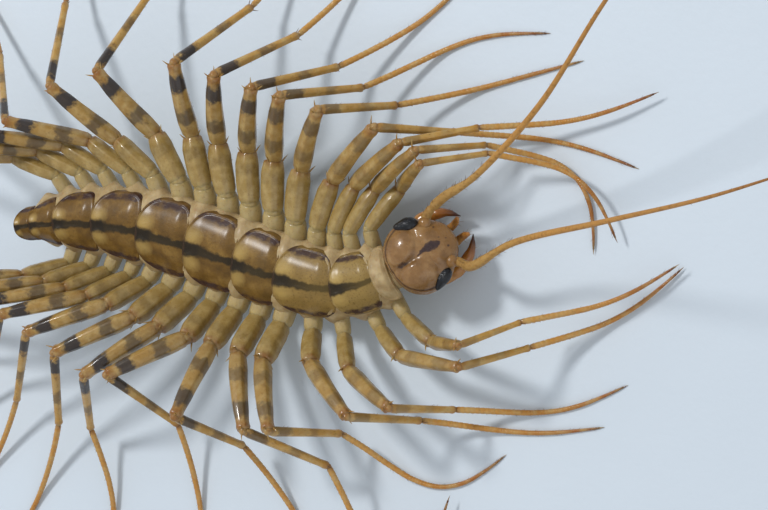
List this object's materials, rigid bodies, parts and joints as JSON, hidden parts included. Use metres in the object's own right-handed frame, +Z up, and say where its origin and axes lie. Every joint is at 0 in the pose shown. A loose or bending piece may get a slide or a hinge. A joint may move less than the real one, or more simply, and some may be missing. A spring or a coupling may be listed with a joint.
{
  "type": "house centipede",
  "caption": "House centipede at life size, standing on its long legs with its head turned to the left, for a still display.",
  "frame": {"origin": "on the floor, under the middle of the whole animal's box", "axes": "+X along the body towards the head, +Y towards the animal's left, +Z up"},
  "size_m": [0.0968, 0.053, 0.0166],
  "materials": {
    "body": "tan back plates, smooth and a little glossy",
    "skin": "pale, soft skin of the neck",
    "leg": "straw legs, a little clear",
    "feeler": "amber, finely ringed",
    "eye": "blue-black, very glossy",
    "claw": "amber brown, glossy"
  },
  "bodies": {
    "root": {"trunk_1": "body", "trunk_2": "body", "trunk_3": "body", "trunk_4": "body", "trunk_5": "body", "trunk_6": "body", "trunk_7": "body", "trunk_8": "body", "head": "body", "tail": "body", "neck": "skin", "eye_left": "eye", "antenna_left": "feeler", "claw_left": "claw", "palp_left": "claw", "eye_right": "eye", "antenna_right": "feeler", "claw_right": "claw", "palp_right": "claw", "leg_left_01": "leg", "leg_left_02": "leg", "leg_left_03": "leg", "leg_left_04": "leg", "leg_left_05": "leg", "leg_left_06": "leg", "leg_left_07": "leg", "leg_left_08": "leg", "leg_left_09": "leg", "leg_left_10": "leg", "leg_left_11": "leg", "leg_left_12": "leg", "leg_left_13": "leg", "leg_left_14": "leg", "leg_left_15": "leg", "leg_right_01": "leg", "leg_right_02": "leg", "leg_right_03": "leg", "leg_right_04": "leg", "leg_right_05": "leg", "leg_right_06": "leg", "leg_right_07": "leg", "leg_right_08": "leg", "leg_right_09": "leg", "leg_right_10": "leg", "leg_right_11": "leg", "leg_right_12": "leg", "leg_right_13": "leg", "leg_right_14": "leg", "leg_right_15": "leg"}
  },
  "joints": []
}
